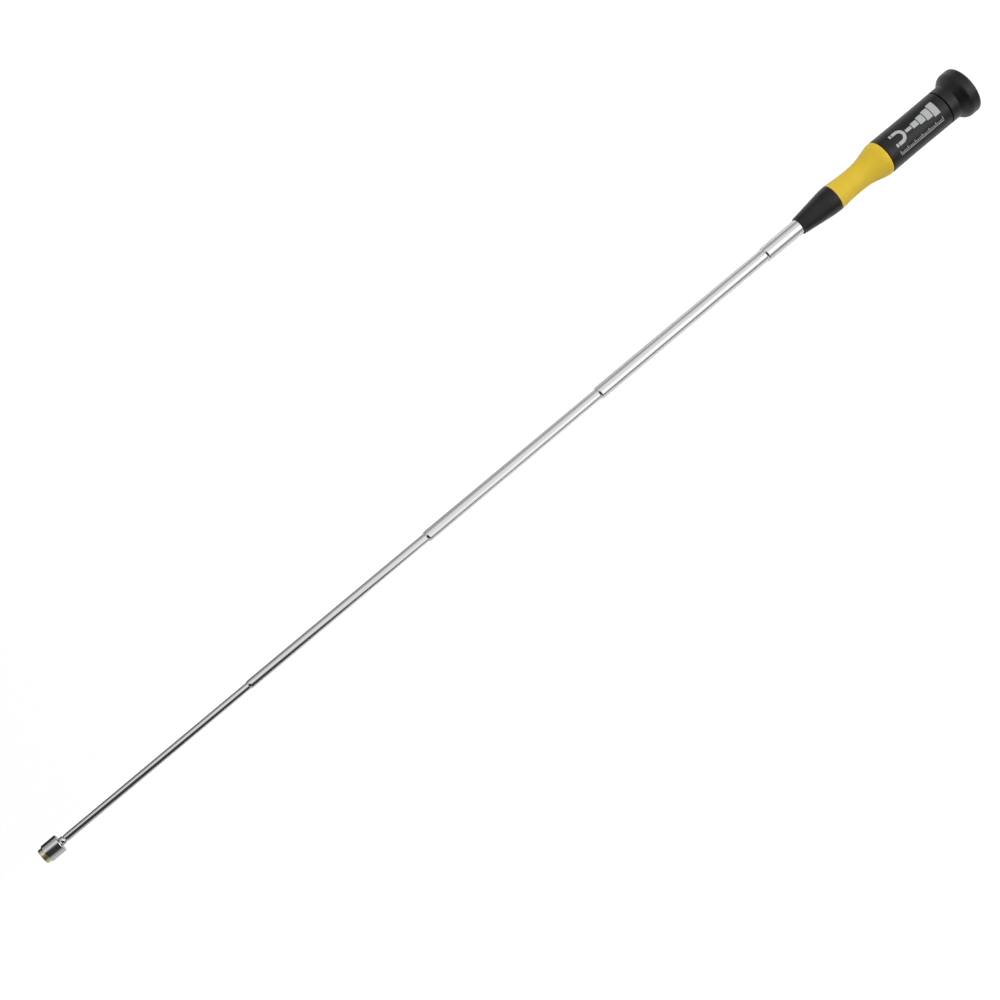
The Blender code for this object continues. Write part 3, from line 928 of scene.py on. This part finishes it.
studio = {
    "floorSize": 14.0,
    "floorColour": (0.90, 0.90, 0.895),
    "floorRoughness": 0.9,
    "floorGap": 0.05 * mm,
    "rimBehind": 3 * mm,          # the cap rests on its rim, this far behind its middle
    "floorGlow": (1.1, 1.1, 1.1),
    "floorWash": 0.9,             # share of the floor that the camera sees as an even glow
    "shadeColour": (0.03, 0.03, 0.03),
    "shadeAlong": (0.62, -0.02),  # dim strip behind the tool, deepest at the magnet
    "shadeAlongFront": (0.50, 0.10),
    "shadeFront": 0.35,           # a weaker one before it
    "shadeNear": (0.001, 0.006),
    "shadeFar": (0.45, 0.12),
    "fillPower": 16.5,
    "fillSize": 1.8,
    "fillHeight": 1.9,
    "fillAside": 0.45,
    "background": 1.05,
    "worldPower": 1.0,
    "horizon": 0.5,
    "overhead": 0.68,
    "overheadAt": 4,
    "overheadReach": (80, 30),
    "leanRange": (-0.2, 0.5),
    "bandSoft": 0.35,
    "sideUnit": 100,  # degrees that 1 stands for in the two tables below
    # lean, middle, half width, strength
    "softbox": (
        (0.02, 0.42, 0.22, 0.0),
        (0.156, 0.41, 0.24, 0.35),
        (0.269, 0.29, 0.24, 0.55),
        (0.326, 0.21, 0.22, 0.60),
        (0.38, 0.20, 0.20, 1.20),
        (0.45, 0.19, 0.20, 2.30),
    ),
    "flag": (
        (-0.133, 0.18, 0.44, 0.96),
        (-0.044, 0.50, 0.46, 0.95),
        (0.03, 0.72, 0.46, 0.93),
        (0.075, 0.86, 0.36, 0.82),
        (0.11, 0.92, 0.20, 0.75),
        (0.156, 0.90, 0.13, 0.72),
        (0.269, 0.70, 0.11, 0.34),
        (0.326, 0.58, 0.10, 0.44),
    ),
}


def makeFloor():
    # the tool lies on its cap's rim and on the magnet cup, so the floor slopes a little under it
    capLow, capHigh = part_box("swivel_cap")
    cupLow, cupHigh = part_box("magnet_cup")
    rimX = (capLow.x + capHigh.x) / 2 + studio["rimBehind"]
    cupX = (cupLow.x + cupHigh.x) / 2
    slope = math.atan2(cupLow.z - capLow.z, rimX - cupX)
    shape = bmesh.new()
    bmesh.ops.create_grid(shape, x_segments=2, y_segments=2, size=studio["floorSize"] / 2)
    turn = Matrix.Rotation(slope, 3, "Y")
    bmesh.ops.rotate(shape, verts=shape.verts, cent=(0, 0, 0), matrix=turn)
    bmesh.ops.translate(shape, verts=shape.verts, vec=(rimX, 0, capLow.z - studio["floorGap"]))
    mesh = bpy.data.meshes.new("floor")
    shape.to_mesh(mesh)
    shape.free()
    floor = bpy.data.objects.new("floor", mesh)
    bpy.context.scene.collection.objects.link(floor)
    finish = Finish("paleFloor", studio["floorColour"], 0.0, studio["floorRoughness"], 0.0)
    x, y = finish.parts(finish.place)[:2]
    behind = x.ramp(*studio["shadeAlong"]) * y.ramp(*studio["shadeNear"])
    before = x.ramp(*studio["shadeAlongFront"]) * (y * -1).ramp(*studio["shadeNear"])
    shade = (behind + before * studio["shadeFront"]) * y.size().ramp(*studio["shadeFar"])
    finish.set("Base Color", finish.blend(shade, studio["floorColour"], studio["shadeColour"]))
    seen = finish.node("ShaderNodeLightPath", {}, {}, "Is Camera Ray")
    glow = finish.node("ShaderNodeEmission", {}, {"Color": studio["floorGlow"], "Strength": 1.0})
    lit = Value(finish, finish.shader.outputs[0])
    mixed = {0: seen * studio["floorWash"], 1: lit, 2: glow}
    shown = finish.node("ShaderNodeMixShader", {}, mixed)
    finish.feed(finish.tree.nodes["Material Output"].inputs["Surface"], shown)
    floor.data.materials.append(finish.holder)
    floor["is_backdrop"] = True


def makeWorld():
    # a soft studio dome that changes along the mast (lean is the X part of a direction) and
    # round it (side is the angle in degrees from straight up, towards -Y)
    world = bpy.data.worlds.new("studio")
    bpy.context.scene.world = world
    tree = Tree(world)
    place = tree.node("ShaderNodeTexCoord", {}, {}, "Generated")
    lean, across, up = tree.parts(place)
    side = across.maths("ARCTAN2", across * -1, up) * (180 / math.pi)
    low, high = studio["leanRange"]
    unit = studio["sideUnit"]
    share = (lean - low) / (high - low)

    def band(stops):
        # a band of light or dark: its middle, half width and strength go by the lean
        shown = [((at - low) / (high - low), values) for at, *values in stops]
        ramp = tree.node("ShaderNodeValToRGB", {"stops": shown}, {"Fac": share})
        middle, half, strength = tree.parts(ramp)
        away = (side - middle * unit).size()
        soft = studio["bandSoft"]
        return away.ramp(half * unit * (1 + soft), half * unit * (1 - soft)) * strength

    overhead = (side - studio["overheadAt"]).size().ramp(*studio["overheadReach"])
    light = studio["horizon"] + overhead * studio["overhead"] + band(studio["softbox"])
    light = light * (1 - band(studio["flag"])) * studio["worldPower"]
    seen = tree.node("ShaderNodeLightPath", {}, {}, "Is Camera Ray")
    strength = light * (1 - seen) + seen * studio["background"]
    background = tree.tree.nodes["Background"]
    tree.feed(background.inputs["Strength"], strength)
    tree.feed(background.inputs["Color"], (1, 1, 1))


def makeFill():
    # a large soft lamp overhead that lights the matt surfaces evenly
    lamp = bpy.data.lights.new("fill", "AREA")
    lamp.shape = "SQUARE"
    lamp.size = studio["fillSize"]
    lamp.energy = studio["fillPower"]
    holder = bpy.data.objects.new("fill", lamp)
    bpy.context.scene.collection.objects.link(holder)
    middle = (cadBox[0] + cadBox[1]) / 2
    holder.location = (middle.x, studio["fillAside"], studio["fillHeight"])
    aim = Vector((middle.x, 0, 0)) - holder.location
    holder.rotation_euler = aim.to_track_quat("-Z", "Y").to_euler()
    holder.visible_glossy = False
    holder.visible_camera = False


view = {
    "focal": 1.983,                 # focal length over the width of the view
    "sensor": 36.0,
    "tilt": math.radians(8.4),      # it leans this far towards the handle
    "roll": math.radians(39.925),   # the mast rises this steeply across it
    "place": (0.14515, -0.00995, 1.04624),
}


def makeCamera():
    data = bpy.data.cameras.new("camera")
    data.sensor_width = view["sensor"]
    data.lens = view["focal"] * view["sensor"]
    camera = bpy.data.objects.new("camera", data)
    bpy.context.scene.collection.objects.link(camera)
    alongMast = Vector((math.cos(view["tilt"]), 0, math.sin(view["tilt"])))
    across = Vector((0, -1, 0))
    roll = view["roll"]
    right = alongMast * math.cos(roll) + across * math.sin(roll)
    up = alongMast * math.sin(roll) - across * math.cos(roll)
    turn = Matrix((right, up, right.cross(up))).transposed()
    camera.matrix_world = Matrix.Translation(view["place"]) @ turn.to_4x4()
    bpy.context.scene.camera = camera


makeFloor()
makeWorld()
makeFill()
makeCamera()
bpy.context.scene.view_settings.view_transform = "Standard"
print("studio made")

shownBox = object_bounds()
for name, box in (("cad", cadBox), ("shown", shownBox)):
    print(name, "box", [round(value, 5) for corner in box for value in corner])
